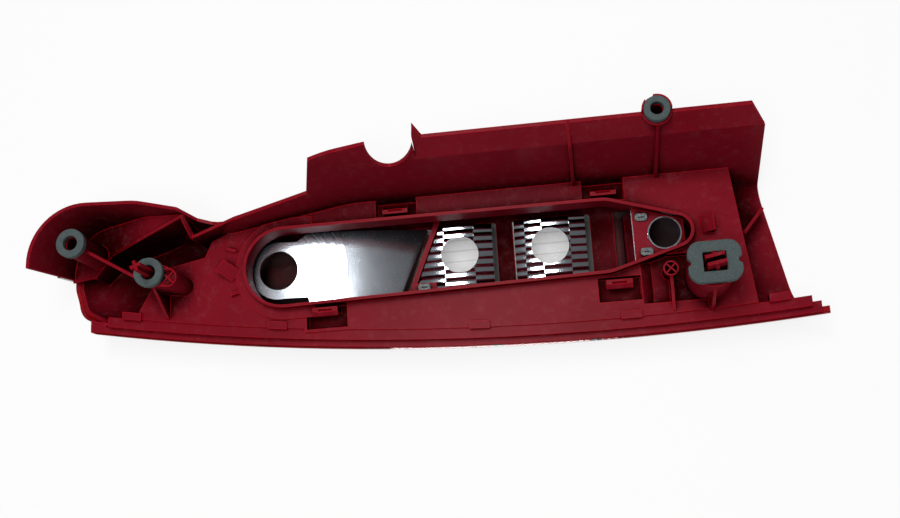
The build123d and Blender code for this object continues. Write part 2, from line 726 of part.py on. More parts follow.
# Boss at the top of the back wall, with two collar arcs round its seal
with BuildPart() as top_boss:
    add(column(TOP_BOSS, TOP_BOSS_RADIUS, TOP_BOSS_FOOT, TOP_BOSS_TOP))
    fillet(top_boss.edges().group_by(Axis.Z)[0], TOP_BOSS_RADIUS / 2)
    with BuildSketch(level(TOP_BOSS_TOP - RIB)):
        with Locations(TOP_BOSS):
            Circle(TOP_RING_OUTSIDE / 2 + FIT_GAP + RIB / 2)
    extrude(amount=RIB)
    with BuildSketch(level(TOP_BOSS_TOP)):
        with Locations(TOP_BOSS):
            Circle(TOP_RING_OUTSIDE / 2 + FIT_GAP + RIB / 2)
            Circle(TOP_RING_OUTSIDE / 2 + FIT_GAP, mode=Mode.SUBTRACT)
        with Locations((TOP_BOSS[0], TOP_BOSS[1] - TOP_RING_OUTSIDE)):
            Rectangle(2 * TOP_RING_OUTSIDE, 2 * TOP_RING_OUTSIDE, mode=Mode.SUBTRACT)
        with Locations((TOP_BOSS[0] - TOP_RING_OUTSIDE / 4, TOP_BOSS[1] + TOP_RING_OUTSIDE / 2)):
            Rectangle(RING_THICKNESS, TOP_RING_OUTSIDE, mode=Mode.SUBTRACT)
    extrude(amount=RING_THICKNESS - RIB / 2)

# Boss with the snap clip: a hollow drum with a lid, and two barbed prongs
with BuildPart() as clip_boss:
    add(column(CLIP_BOSS, CLIP_BOSS_RADIUS, PLATE_UNDERSIDE, CLIP_BOSS_TOP))
    add(column(CLIP_BOSS, CLIP_BOSS_RADIUS - WALL, PLATE_TOP, CLIP_BOSS_TOP - WALL), mode=Mode.SUBTRACT)
    with BuildSketch(level(CLIP_BOSS_TOP - 2 * WALL)):
        with Locations(CLIP_BOSS):
            Rectangle(PAD_HOLE_WIDTH, PAD_HOLE_DEPTH)
    extrude(amount=3 * WALL, mode=Mode.SUBTRACT)
    for side in (-1, 1):
        add(prong(PRONG_WIDTH, side, BARB_REACH))
        add(prong(PRONG_SPINE, side, 2 * BARB_REACH))

# Tube boss with a cross inside it
with BuildPart() as tube_boss:
    add(column(TUBE_BOSS, TUBE_BOSS_RADIUS, DEEP_POCKET_FLOOR - RIB / 2, TUBE_BOSS_TOP))
    tube = TUBE_BOSS_RADIUS - RIB / 2
    add(column(TUBE_BOSS, tube, DEEP_POCKET_FLOOR, TUBE_BOSS_TOP), mode=Mode.SUBTRACT)
    add(cross(TUBE_BOSS, 2 * tube, RIB / 2, DEEP_POCKET_FLOOR, TUBE_BOSS_TOP + RIB / 2, CROSS_TURN))

# Ribs that brace the bosses and the back wall
pin_rib_back = PIN_BOSS[1] - BOSS_RADIUS + RIB
pin_rib_front = PIN_BOSS[1] - 3 * BOSS_RADIUS
clip_rib_back = CLIP_BOSS[1] - CLIP_BOSS_RADIUS + WALL
clip_rib_front = clip_rib_back - 4 * WALL
tube_rib_back = TUBE_BOSS[1] - TUBE_BOSS_RADIUS + RIB / 4
tube_rib_front = DEEP_POCKET_FRONT - 3 * RIB
tube_rib_foot = DEEP_POCKET_FLOOR - RIB / 2
top_rib_front = TOP_BOSS[1] - TOP_BOSS_RADIUS - RIB
with BuildPart() as ribs:
    add(
        rib(
            PIN_BOSS[0], RIB, (pin_rib_back, PLATE_UNDERSIDE), (pin_rib_back, PIN_BOSS_TOP - RIB),
            (pin_rib_front, PLATE_TOP + RIB), (pin_rib_front, PLATE_UNDERSIDE),
        )
    )
    add(
        rib(
            CLIP_BOSS[0], RIB, (clip_rib_back, PLATE_UNDERSIDE), (clip_rib_back, CLIP_BOSS_TOP - 2 * WALL),
            (clip_rib_front, PLATE_TOP + CLIP_RIB_RISE), (clip_rib_front, PLATE_UNDERSIDE),
        )
    )
    add(
        rib(
            TUBE_BOSS[0], RIB, (tube_rib_back, tube_rib_foot), (tube_rib_back, TUBE_BOSS_TOP - RIB),
            (tube_rib_front, PLATE_TOP + RIB), (tube_rib_front, tube_rib_foot),
        )
    )
    add(
        rib(
            TOP_BOSS[0], RIB, (wall_y(PLATE_UNDERSIDE), PLATE_UNDERSIDE),
            (wall_y(PLATE_UNDERSIDE) - 2 * RIB, PLATE_UNDERSIDE), (top_rib_front, TOP_BOSS_TOP - RIB),
            (wall_y(TOP_BOSS_TOP), TOP_BOSS_TOP - RIB), (wall_y(CREASE_Z), CREASE_Z),
        )
    )
    add(
        rib(
            WALL_RIB_X, RIB, (wall_y(PLATE_UNDERSIDE), PLATE_UNDERSIDE),
            (wall_y(PLATE_UNDERSIDE) - 2 * RIB, PLATE_UNDERSIDE), (wall_y(CREASE_Z) - 2 * RIB, CREASE_Z),
            (wall_y(STRIP_TOP), STRIP_TOP + RIB), (wall_y(STRIP_TOP), STRIP_TOP),
            (wall_y(CREASE_Z), CREASE_Z),
        )
    )
    add(plan_rib(LEFT_BOSS, LOBE_RIB_END, TUB_BOTTOM, LOBE_RIB_TOP))
    add(plan_rib(END_RIB_START, END_RIB_END, TUB_BOTTOM, END_RIB_TOP))
    add(plan_rib(*MARK_RIB, PLATE_UNDERSIDE, PLATE_TOP + MARK_RIB_RISE))
    split(bisect_by=END_PLANE, keep=Keep.BOTTOM)

# Snap tongues that stand in the clip pockets
with BuildPart() as tongues:
    for x, y, side in POCKETS:
        root = y - side * (POCKET_DEPTH / 2 - TONGUE_THICKNESS)
        outer = root + side * TONGUE_THICKNESS
        lip = outer + side * TONGUE_LIP
        lip_foot = TONGUE_TOP - TONGUE_LIP
        foot = POCKET_FLOOR - RIB / 2
        add(
            rib(
                x, TONGUE_WIDTH, (root, foot), (root, TONGUE_TOP), (outer, TONGUE_TOP),
                (lip, lip_foot), (outer, lip_foot), (outer, foot),
            )
        )
        with BuildSketch(level(TONGUE_TOP)):
            with Locations((x, outer - side * TONGUE_THICKNESS / 4)):
                Rectangle(TONGUE_SLOT_WIDTH, TONGUE_SLOT_DEPTH)
        extrude(amount=-TONGUE_SLOT_DEPTH, mode=Mode.SUBTRACT)

# Flange in steps along the front edge, with its upstand tabs
with BuildPart() as flange:
    with BuildSketch(level(LEDGE_TOP)):
        add(front_band(-FLANGE_WIDTH, 0, FLANGE_LEFT, FLANGE_RIGHT))
    extrude(amount=FLANGE_TOP - LEDGE_TOP)
    with BuildSketch(level(LENS_RIM)):
        add(front_band(-1.5 * WALL, LEDGE_WIDTH, LEDGE_LEFT, LEDGE_RIGHT))
    extrude(amount=LEDGE_TOP - LENS_RIM)
    with BuildSketch(level(LEDGE_TOP)):
        with Locations(*[(x, FRONT_LIMIT - CUT_REACH / 4) for x in TAB_PLACES]):
            Rectangle(TAB_WIDTH, CUT_REACH / 2)
        band = front_band(-FLANGE_WIDTH - TAB_DEPTH, RIB / 2 - FLANGE_WIDTH, -CUT_REACH, CUT_REACH)
        add(band, mode=Mode.INTERSECT)
    extrude(amount=PLATE_TOP + TAB_RISE - LEDGE_TOP)

# Collar round the carrier opening, with its step ring, the fog shelf in its nose and a lug for a stud
with BuildPart() as collar:
    with BuildSketch(level(COLLAR_FOOT)):
        add(opening_face(0))
        add(opening_face(-COLLAR_WALL), mode=Mode.SUBTRACT)
    extrude(amount=COLLAR_TOP - COLLAR_FOOT)
    with BuildSketch(level(PLATE_UNDERSIDE)):
        add(opening_face(STEP_RING))
        add(opening_face(-COLLAR_WALL / 2), mode=Mode.SUBTRACT)
        with Locations((STEP_RING_END - CUT_REACH / 2, 0)):
            Rectangle(CUT_REACH, CUT_REACH, mode=Mode.INTERSECT)
    extrude(amount=PLATE_THICKNESS + STEP_RING_RISE)
    with BuildSketch(level(SHELF_FOOT)):
        with Locations(((SHELF_LEFT + SHELF_RIGHT) / 2, 0)):
            Rectangle(SHELF_RIGHT - SHELF_LEFT, CUT_REACH)
        with Locations((STUD_PLACES[2][0], LUG_BACK - CUT_REACH / 2)):
            Rectangle(LUG_LENGTH, CUT_REACH)
        add(opening_face(-COLLAR_WALL / 2), mode=Mode.INTERSECT)
        with Locations(FOG_BULB):
            Circle(FOG_HOLE / 2, mode=Mode.SUBTRACT)
        with Locations(*STUD_PLACES):
            Circle(STUD_SHANK / 2 + FIT_GAP, mode=Mode.SUBTRACT)
    extrude(amount=SHELF_THICKNESS)

# The housing is one moulding: the shells, webs and bosses join here
with BuildPart() as housing:
    add(tub.part)
    add(platform.part)
    add(lobe.part)
    add(divider.part)
    with BuildSketch(level(FLANGE_TOP)):
        add(front_band(-FLANGE_WIDTH, LIP_WIDTH, -CUT_REACH, CUT_REACH))
    extrude(amount=PLATE_TOP, mode=Mode.SUBTRACT)
    add(flange.part)
    add(clip_pockets(RIB))
    add(deep_pocket(RIB))
    add(clip_pockets(0), mode=Mode.SUBTRACT)
    add(deep_pocket(0), mode=Mode.SUBTRACT)
    with BuildSketch(level(DIVIDER_TOP)):
        add(opening_face(0))
    extrude(amount=CUT_REACH, mode=Mode.SUBTRACT)
    for piece in (collar, left_boss, pin_boss, top_boss, clip_boss, tube_boss, ribs, tongues):
        add(piece.part)
    add(column(TOP_BOSS, TOP_BORE / 2, TOP_BOSS_TOP - BORE_DEPTH, CUT_REACH), mode=Mode.SUBTRACT)
    add(column(LEFT_BOSS, BOSS_BORE / 2, LEFT_BOSS_TOP - BORE_DEPTH, CUT_REACH), mode=Mode.SUBTRACT)
    for place in HOOKS:
        add(hook(*place))
housing.part.label = "housing"
export_step(housing.part, "parts/housing.step")

# Lens: one shell in the tub's form, parted into its three colours
with BuildPart() as lens:
    add(lens_outside)
    add(lens_inside, mode=Mode.SUBTRACT)
    add(left_end_cut.part, mode=Mode.SUBTRACT)
    split(bisect_by=END_PLANE, keep=Keep.BOTTOM)
    with BuildSketch(level(LENS_RIM - LIP_THICKNESS)):
        add(front_band(FIT_GAP, LIP_WIDTH, LIP_LEFT, LIP_RIGHT))
    extrude(amount=LIP_THICKNESS)

with BuildPart() as stop_lens:
    add(lens.part)
    split(bisect_by=DIVIDER_PLANE, keep=Keep.BOTTOM)
stop_lens.part.label = "stop_lens"
export_step(stop_lens.part, "parts/stop_lens.step")

with BuildPart() as clear_lens:
    add(lens.part)
    split(bisect_by=DIVIDER_PLANE, keep=Keep.TOP)
    split(bisect_by=FOG_PLANE, keep=Keep.BOTTOM)
clear_lens.part.label = "clear_lens"
export_step(clear_lens.part, "parts/clear_lens.step")

with BuildPart() as fog_lens:
    add(lens.part)
    split(bisect_by=FOG_PLANE, keep=Keep.TOP)
fog_lens.part.label = "fog_lens"
export_step(fog_lens.part, "parts/fog_lens.step")

# Stop reflector: a dome with raised crescents and a flank beside the divider
with BuildPart() as stop_steps:
    with BuildSketch(level(0)):
        for radius in STOP_STEP_RADII:
            add(crescent(radius))
    extrude(amount=LENS_RIM)
    add(stop_body(0), mode=Mode.INTERSECT)
    add(stop_ball(STOP_STEP_RISE), mode=Mode.INTERSECT)

with BuildPart() as stop_space:
    add(stop_body(MIRROR_WALL))
    add(stop_ball(-MIRROR_WALL), mode=Mode.INTERSECT)

with BuildPart() as stop_reflector:
    add(stop_body(0))
    add(stop_ball(0), mode=Mode.INTERSECT)
    add(stop_steps.part)
    add(stop_space.part, mode=Mode.SUBTRACT)
    add(column(STOP_BULB, STOP_HOLE / 2, 0, CUT_REACH), mode=Mode.SUBTRACT)
    add(lens_core, mode=Mode.INTERSECT)
stop_reflector.part.label = "stop_reflector"
export_step(stop_reflector.part, "parts/stop_reflector.step")

# Indicator and reversing reflectors: fluted vaults with plain insides
with BuildPart() as indicator_space:
    add(fluted_core(INDICATOR_BREAKS))
    split(bisect_by=DIVIDER_PLANE.offset(DIVIDER_THICKNESS / 2 + SIDE_GAP + MIRROR_WALL), keep=Keep.TOP)

with BuildPart() as indicator_reflector:
    add(fluted_body(INDICATOR_BREAKS, INDICATOR_BULB))
    split(bisect_by=DIVIDER_PLANE.offset(DIVIDER_THICKNESS / 2 + SIDE_GAP), keep=Keep.TOP)
    add(indicator_space.part, mode=Mode.SUBTRACT)
    add(lens_core, mode=Mode.INTERSECT)
indicator_reflector.part.label = "indicator_reflector"
export_step(indicator_reflector.part, "parts/indicator_reflector.step")

with BuildPart() as reversing_reflector:
    add(fluted_body(REVERSING_BREAKS, REVERSING_BULB))
    add(fluted_core(REVERSING_BREAKS), mode=Mode.SUBTRACT)
    add(lens_core, mode=Mode.INTERSECT)
reversing_reflector.part.label = "reversing_reflector"
export_step(reversing_reflector.part, "parts/reversing_reflector.step")

# Fog reflector: a shell in the collar's nose, with a bulb neck that stands in the shelf's hole
with BuildPart() as fog_reflector:
    add(fog_body(0, SHELF_FOOT))
    add(fog_body(MIRROR_WALL, SHELF_FOOT - MIRROR_WALL), mode=Mode.SUBTRACT)
    add(column(FOG_BULB, FOG_HOLE / 2 - NECK_GAP, SHELF_FOOT - MIRROR_WALL, SHELF_TOP + NECK_RISE))
    add(column(FOG_BULB, FOG_HOLE / 2 - NECK_GAP - NECK_WALL, 0, CUT_REACH), mode=Mode.SUBTRACT)
    add(lens_core, mode=Mode.INTERSECT)
fog_reflector.part.label = "fog_reflector"
export_step(fog_reflector.part, "parts/fog_reflector.step")

# Stake studs that hold the reflectors to the shelf and the lug
with BuildPart() as stake_studs:
    with BuildSketch(level(SHELF_FOOT)):
        with Locations(*STUD_PLACES):
            Circle(STUD_SHANK / 2)
    extrude(amount=SHELF_THICKNESS + STUD_RISE)
    with BuildSketch(level(SHELF_TOP)):
        with Locations(*STUD_PLACES):
            RectangleRounded(STUD_LENGTH, STUD_WIDTH, STUD_ROUND)
    extrude(amount=STUD_RISE)
    with BuildSketch(level(SHELF_TOP + STUD_RISE)):
        with Locations(*STUD_PLACES):
            SlotOverall(STUD_LENGTH / 2, STUD_SLOT)
    extrude(amount=-STUD_RISE / 2, mode=Mode.SUBTRACT)
stake_studs.part.label = "stake_studs"
export_step(stake_studs.part, "parts/stake_studs.step")

# Foam seals on the bosses
with BuildPart() as left_ring_seal:
    with BuildSketch(level(LEFT_BOSS_TOP)):
        with Locations(LEFT_BOSS):
            Circle(RING_OUTSIDE / 2)
            Circle(RING_HOLE / 2, mode=Mode.SUBTRACT)
    extrude(amount=RING_THICKNESS)
left_ring_seal.part.label = "left_ring_seal"
export_step(left_ring_seal.part, "parts/left_ring_seal.step")

with BuildPart() as pin_ring_seal:
    with BuildSketch(level(PIN_BOSS_TOP)):
        with Locations(PIN_BOSS):
            Circle(RING_OUTSIDE / 2)
            Circle(RING_HOLE / 2, mode=Mode.SUBTRACT)
    extrude(amount=RING_THICKNESS)
pin_ring_seal.part.label = "pin_ring_seal"
export_step(pin_ring_seal.part, "parts/pin_ring_seal.step")

with BuildPart() as top_ring_seal:
    with BuildSketch(level(TOP_BOSS_TOP)):
        with Locations(TOP_BOSS):
            Circle(TOP_RING_OUTSIDE / 2)
            Circle(TOP_RING_HOLE / 2, mode=Mode.SUBTRACT)
    extrude(amount=RING_THICKNESS)
top_ring_seal.part.label = "top_ring_seal"
export_step(top_ring_seal.part, "parts/top_ring_seal.step")

with BuildPart() as clip_seal:
    with BuildSketch(level(CLIP_BOSS_TOP)):
        with Locations(CLIP_BOSS):
            RectangleRounded(PAD_WIDTH, PAD_DEPTH, PAD_ROUND)
            Rectangle(PAD_HOLE_WIDTH, PAD_HOLE_DEPTH, mode=Mode.SUBTRACT)
        with Locations(*[(CLIP_BOSS[0] + side * PAD_WIDTH / 2, CLIP_BOSS[1]) for side in (-1, 1)]):
            Circle(PAD_NOTCH, mode=Mode.SUBTRACT)
    extrude(amount=PAD_THICKNESS)
clip_seal.part.label = "clip_seal"
export_step(clip_seal.part, "parts/clip_seal.step")
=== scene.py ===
import bmesh
import bpy
from bpy.props import FloatProperty, FloatVectorProperty, PointerProperty
from math import radians
from mathutils import Matrix, Vector


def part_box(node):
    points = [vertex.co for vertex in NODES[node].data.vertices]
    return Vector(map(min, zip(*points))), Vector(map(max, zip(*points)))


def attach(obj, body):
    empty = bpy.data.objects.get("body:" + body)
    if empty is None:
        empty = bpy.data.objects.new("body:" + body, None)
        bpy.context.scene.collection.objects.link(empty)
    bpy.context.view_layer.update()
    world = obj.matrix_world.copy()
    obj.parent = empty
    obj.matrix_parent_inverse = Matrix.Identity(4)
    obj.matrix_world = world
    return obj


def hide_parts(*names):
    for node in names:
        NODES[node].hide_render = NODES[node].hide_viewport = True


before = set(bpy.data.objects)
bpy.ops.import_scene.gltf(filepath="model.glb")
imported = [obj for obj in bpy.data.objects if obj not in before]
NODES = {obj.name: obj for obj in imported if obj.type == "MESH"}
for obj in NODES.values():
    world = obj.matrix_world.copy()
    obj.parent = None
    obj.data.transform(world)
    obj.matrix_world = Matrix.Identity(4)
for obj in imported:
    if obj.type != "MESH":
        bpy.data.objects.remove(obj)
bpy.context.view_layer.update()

bl_info = {
    "name": "Rear Lamp Cluster",
    "version": (1, 0, 0),
    "blender": (4, 5, 0),
    "location": "View3D > Sidebar > Rear Lamp",
    "description": "Dresses a rear lamp: red moulded housing, lenses, metallised reflectors and foam seals",
    "category": "Object",
}

# Housing: depth of its fine grain.
GRAIN_DEPTH = 0.0002

# Lens: refraction, depth of its prisms, how far what is around it paints shade on its inside and dulls its
# outside, and the soft borders of its painted shade bands and rim.
LENS_IOR = 1.49
PRISM_DEPTH = 0.0006
LENS_SHADE_REACH = 0.2
LENS_GLOSS_REACH = 0.05
BAND_FADE = 0.0004
RIM_FADE = 0.001

# Studs: round of their edges, depth of their scuffs, and reach and colour of the painted shade in their
# slots.
STUD_EDGE = 0.0006
SCUFF_DEPTH = 0.0003
STUD_SLOT_REACH = 0.002
STUD_SLOT_SHADE_COLOUR = (0.004, 0.004, 0.004)

# Foam: depth of its pits, and the angle past which an edge stays sharp.
PIT_DEPTH = 0.0005
SHARP_ANGLE = radians(50)

# Stage: floor, key light and the camera's place and axes (right, up, back).
WHITE = (1.0, 1.0, 1.0)
FLOOR_SIZE = 60.0
FLOOR_DROP = 0.0002
KEY_PLACE = (-0.1, 0.0, 1.75)
KEY_AIM = (0.0, 0.0, 0.03)
KEY_SIZE = (1.5, 0.45)
SENSOR_WIDTH = 36.0
CLIP_START = 0.01
CAMERA_PLACE = (0.12035, -0.1939, 0.858)
CAMERA_AXES = (
    (0.98951192, -0.06122708, -0.13083347),
    (0.08832454, 0.9731383, 0.21260438),
    (0.11430191, -0.22193038, 0.96833981),
)


class Sock:
    """A node's output socket that takes part in Python arithmetic."""

    def __init__(self, tree, socket):
        self.tree = tree
        self.socket = socket

    def math(self, operation, left, right=0.0):
        node = self.tree.nodes.new("ShaderNodeMath")
        node.operation = operation
        for place, value in zip(node.inputs, (left, right)):
            if isinstance(value, Sock):
                self.tree.links.new(value.socket, place)
            else:
                place.default_value = value
        return Sock(self.tree, node.outputs[0])

    def __add__(self, other):
        return self.math("ADD", self, other)

    def __radd__(self, other):
        return self.math("ADD", other, self)

    def __sub__(self, other):
        return self.math("SUBTRACT", self, other)

    def __rsub__(self, other):
        return self.math("SUBTRACT", other, self)

    def __mul__(self, other):
        return self.math("MULTIPLY", self, other)

    def __rmul__(self, other):
        return self.math("MULTIPLY", other, self)

    def __abs__(self):
        return self.math("ABSOLUTE", self)


class Finish:
    """A material under construction: one shader and the nodes that feed it."""

    def __init__(self, name):
        self.material = bpy.data.materials.new(name)
        self.material.use_nodes = True
        self.tree = self.material.node_tree
        self.shader = self.tree.nodes["Principled BSDF"]
        self.place = self.node("ShaderNodeTexCoord", output="Object")

    def node(self, kind, settings=None, inputs=None, output=0):
        """A node of any kind: its settings are set first, then its sockets get values or links."""
        made = self.tree.nodes.new(kind)
        for name, value in (settings or {}).items():
            setattr(made, name, value)
        for name, value in (inputs or {}).items():
            if isinstance(value, Sock):
                self.tree.links.new(value.socket, made.inputs[name])
            else:
                made.inputs[name].default_value = value
        return Sock(self.tree, made.outputs[output])

    def axis(self, name):
        """Place along one axis of the lamp, in metres."""
        return self.node("ShaderNodeSeparateXYZ", inputs={0: self.place}, output=name)

    def noise(self, scale, detail, roughness=0.55):
        """Even noise over the piece, from 0 to 1; the scale is in waves to the metre."""
        return self.node(
            "ShaderNodeTexNoise",
            inputs={"Vector": self.place, "Scale": scale, "Detail": detail, "Roughness": roughness},
        )

    def clamp(self, value, low, high):
        """A value mapped from low..high to 0..1 and held there."""
        return self.node("ShaderNodeMapRange", inputs={"Value": value, "From Min": low, "From Max": high})

    def mix(self, factor, first, second):
        """Two colours mixed by a value."""
        return self.node("ShaderNodeMix", {"data_type": "RGBA"}, {0: factor, 6: first, 7: second}, output=2)

    def edges(self, radius):
        """Mask of the sharp edges, where the rounded normal leaves the flat one, and the rounded normal."""
        rounded = self.node("ShaderNodeBevel", {"samples": 4}, {"Radius": radius})
        flat = self.node("ShaderNodeNewGeometry", output="Normal")
        same = self.node(
            "ShaderNodeVectorMath", {"operation": "DOT_PRODUCT"}, {0: rounded, 1: flat}, output="Value"
        )
        return 1 - same, rounded

    def openness(self, reach):
        """How open a point lies: 0 deep in a recess, 1 on an open face."""
        return self.node("ShaderNodeAmbientOcclusion", {"samples": 8}, {"Distance": reach}, output="AO")

    def bump(self, height, strength, distance, normal=None):
        """Normal with a height map on it."""
        inputs = {"Height": height, "Strength": strength, "Distance": distance}
        if normal is not None:
            inputs["Normal"] = normal
        return self.node("ShaderNodeBump", inputs=inputs)

    def feed(self, **values):
        """Sets or links the shader's sockets; a name's underscores stand for spaces."""
        for name, value in values.items():
            socket = self.shader.inputs[name.replace("_", " ")]
            if isinstance(value, Sock):
                self.tree.links.new(value.socket, socket)
            else:
                socket.default_value = value
        return self.material


def solid(colour):
    """A colour with full alpha."""
    return (*colour, 1.0)


def scaled(colour, share):
    """A darker or lighter tone of a colour, with full alpha."""
    return solid(channel * share for channel in colour)


def dress(node, material):
    """Gives a CAD node its finish."""
    slots = NODES[node].data.materials
    slots.clear()
    slots.append(material)


def choose_only(piece):
    """Makes one object the only selected and active one."""
    bpy.ops.object.select_all(action="DESELECT")
    piece.select_set(True)
    bpy.context.view_layer.objects.active = piece


def select_faces(piece, test):
    """Selects the faces that pass a test, in edit mode."""
    mesh = bmesh.from_edit_mesh(piece.data)
    for face in mesh.faces:
        face.select_set(test(face))
    mesh.select_flush_mode()
    bmesh.update_edit_mesh(piece.data)


def select_edges(piece, test):
    """Selects the edges that pass a test, in edit mode."""
    bpy.ops.mesh.select_mode(type="EDGE")
    mesh = bmesh.from_edit_mesh(piece.data)
    for edge in mesh.edges:
        edge.select_set(test(edge))
    bmesh.update_edit_mesh(piece.data)
    bpy.ops.mesh.select_mode(type="EDGE")


def apply_modifier(piece, kind, **settings):
    """Adds a modifier with its settings and applies it."""
    modifier = piece.modifiers.new(kind.title(), kind)
    for name, value in settings.items():
        setattr(modifier, name, value)
    choose_only(piece)
    bpy.ops.object.modifier_apply(modifier=modifier.name)


def keep_foam(piece, name, node, material):
    """Names a foam piece, bakes its place into its mesh and puts it in the place of its CAD solid."""
    piece.name = name
    choose_only(piece)
    bpy.ops.object.transform_apply(location=True, rotation=True, scale=True)
    bpy.ops.object.shade_smooth_by_angle(angle=SHARP_ANGLE)
    piece.data.materials.append(material)
    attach(piece, "root")
    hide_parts(node)


class LampHousing(bpy.types.PropertyGroup):
    """Colours, painted shade in recesses, painted highlights on edges, and gloss of the moulded housing."""

    colour: FloatVectorProperty(
        name="Housing", description="Colour of the red moulding", subtype="COLOR",
        default=(0.21, 0.006, 0.015),
    )
    # Painted highlight: a bright red painted on the sharp edges stands in for glints and for light glowing
    # through the thin plastic.
    painted_edge_light: FloatVectorProperty(
        name="Edges", description="Colour of the thin edges, where light comes through", subtype="COLOR",
        default=(0.55, 0.005, 0.014),
    )
    # Painted shade: a near black red painted into recesses, gaps and walls, according to how open they lie.
    painted_shade_colour: FloatVectorProperty(
        name="Recesses", description="Colour deep in the moulding, where little light comes", subtype="COLOR",
        default=(0.02, 0.0002, 0.0004),
    )
    dust_colour: FloatVectorProperty(
        name="Dust", description="Colour of the dusty haze", subtype="COLOR", default=(0.35, 0.16, 0.18)
    )
    recess: FloatProperty(
        name="Recess Reach", description="How far walls around a recess darken it", unit="LENGTH",
        default=0.045,
    )
    edge_radius: FloatProperty(
        name="Edge Round", description="Radius of the moulded edges", unit="LENGTH", default=0.0011
    )
    roughness: FloatProperty(
        name="Roughness", description="Roughness of the moulding", subtype="FACTOR", default=0.3, min=0, max=1
    )
    gloss: FloatProperty(
        name="Gloss", description="Weight of the gloss on open faces", subtype="FACTOR",
        default=0.07, min=0, max=1,
    )


class LampOptics(bpy.types.PropertyGroup):
    """Colours, fine forms and painted shade bands of the lenses and reflectors."""

    red: FloatVectorProperty(
        name="Red Lens", description="Colour of the red lens", subtype="COLOR", default=(0.3, 0.004, 0.008)
    )
    clear: FloatVectorProperty(
        name="Clear Lens", description="Colour of the clear lens", subtype="COLOR", default=(0.84, 0.83, 0.83)
    )
    mirror: FloatVectorProperty(
        name="Reflector", description="Colour of the metal film", subtype="COLOR", default=(0.74, 0.79, 0.87)
    )
    prism: FloatProperty(name="Prism", description="Width of one lens prism", unit="LENGTH", default=0.005)
    flute: FloatProperty(name="Flute", description="Pitch of the lens flutes", unit="LENGTH", default=0.0085)
    groove: FloatProperty(
        name="Groove", description="Half width of the groove between flutes", unit="LENGTH", default=0.0006
    )
    # Painted shade: places along the lamp where the clear lens is painted dark, for the shade in the slots
    # between the reflectors.
    shade_bands: FloatVectorProperty(
        name="Welds", description="Places of the clear lens's welds along the lamp", size=2, subtype="XYZ",
        unit="LENGTH", default=(0.0545, 0.1272),
    )
    # Half width of a painted shade band.
    weld: FloatProperty(name="Weld", description="Half width of a weld", unit="LENGTH", default=0.0036)
    rim: FloatProperty(
        name="Red Rim", description="Distance in front of the lamp's middle where the red rim starts",
        unit="LENGTH", default=0.066,
    )


class LampSeals(bpy.types.PropertyGroup):
    """Colours and form of the foam seals and the studs."""

    colour: FloatVectorProperty(
        name="Foam", description="Colour of the foam", subtype="COLOR", default=(0.085, 0.108, 0.108)
    )
    cell: FloatProperty(name="Cell", description="Size of the foam's cells", unit="LENGTH", default=0.0009)
    edge: FloatProperty(name="Edge", description="Round of the foam's edges", unit="LENGTH", default=0.0009)
    hole: FloatProperty(
        name="Washer Hole", description="Radius of the hole in the large washers", unit="LENGTH",
        default=0.0055,
    )
    small_hole: FloatProperty(
        name="Small Hole", description="Radius of the hole in the small washer", unit="LENGTH", default=0.0045
    )
    corner: FloatProperty(
        name="Pad Corner", description="Radius of the pad's corners", unit="LENGTH", default=0.0085
    )
    notch: FloatProperty(
        name="Pad Notch", description="Radius of the notches in the pad's ends", unit="LENGTH", default=0.0022
    )
    pad_length: FloatProperty(
        name="Pad Hole Length", description="Length of the hole in the pad", unit="LENGTH", default=0.0158
    )
    pad_width: FloatProperty(
        name="Pad Hole Width", description="Width of the hole in the pad", unit="LENGTH", default=0.0134
    )
    stud: FloatVectorProperty(
        name="Studs", description="Colour of the stake studs", subtype="COLOR", default=(0.07, 0.078, 0.078)
    )


class LampStage(bpy.types.PropertyGroup):
    """Light, floor and camera."""

    key: FloatProperty(
        name="Key Light", description="Power of the soft light overhead", unit="POWER", default=28.0
    )
    fill: FloatProperty(name="Fill", description="Strength of the light from overhead", default=0.1)
    horizon: FloatProperty(name="Horizon", description="Strength of the light from low down", default=0.17)
    shadow: FloatProperty(
        name="Shadow", description="How much of the floor's shading the camera sees", subtype="FACTOR",
        default=0.16,
    )
    floor: FloatVectorProperty(
        name="Floor", description="Colour of the floor", subtype="COLOR", default=(0.95, 0.95, 0.95)
    )
    lens: FloatProperty(name="Lens", description="Focal length of the camera", unit="CAMERA", default=45.0)


class LAMP_OT_housing(bpy.types.Operator):
    """Dresses the red moulded housing"""

    bl_idname = "lamp.housing"
    bl_label = "Housing"

    def execute(self, context):
        look = context.scene.lamp_housing
        finish = Finish("red moulding")
        edges, rounded = finish.edges(look.edge_radius)
        cloud = finish.noise(18.0, 4.0)
        grain = finish.noise(900.0, 2.0)
        dust = finish.clamp(finish.noise(140.0, 6.0, 0.7), 0.52, 0.78)
        # Painted highlight: mask of the sharp edges, which are painted bright red as glints and glow.
        edge = finish.clamp(edges, 0.01, 0.14)
        body = finish.mix(finish.clamp(cloud, 0.35, 0.65), scaled(look.colour, 0.82), solid(look.colour))
        # Painted shade: the less open a point lies, the more of the dark recess colour it gets.
        lit = finish.clamp(finish.openness(look.recess), 0.42, 0.72)
        body = finish.mix(lit, solid(look.painted_shade_colour), body)
        body = finish.mix(edge * 0.9, body, solid(look.painted_edge_light))
        finish.feed(
            Base_Color=finish.mix(dust * 0.1, body, solid(look.dust_colour)),
            Roughness=look.roughness + (cloud - 0.5) * 0.12 + dust * 0.12,
            Specular_IOR_Level=0.0,
            Coat_Weight=lit * look.gloss,
            Coat_Roughness=look.roughness,
            Normal=finish.bump(grain, 0.08, GRAIN_DEPTH, rounded),
        )
        dress("housing", finish.material)
        return {"FINISHED"}


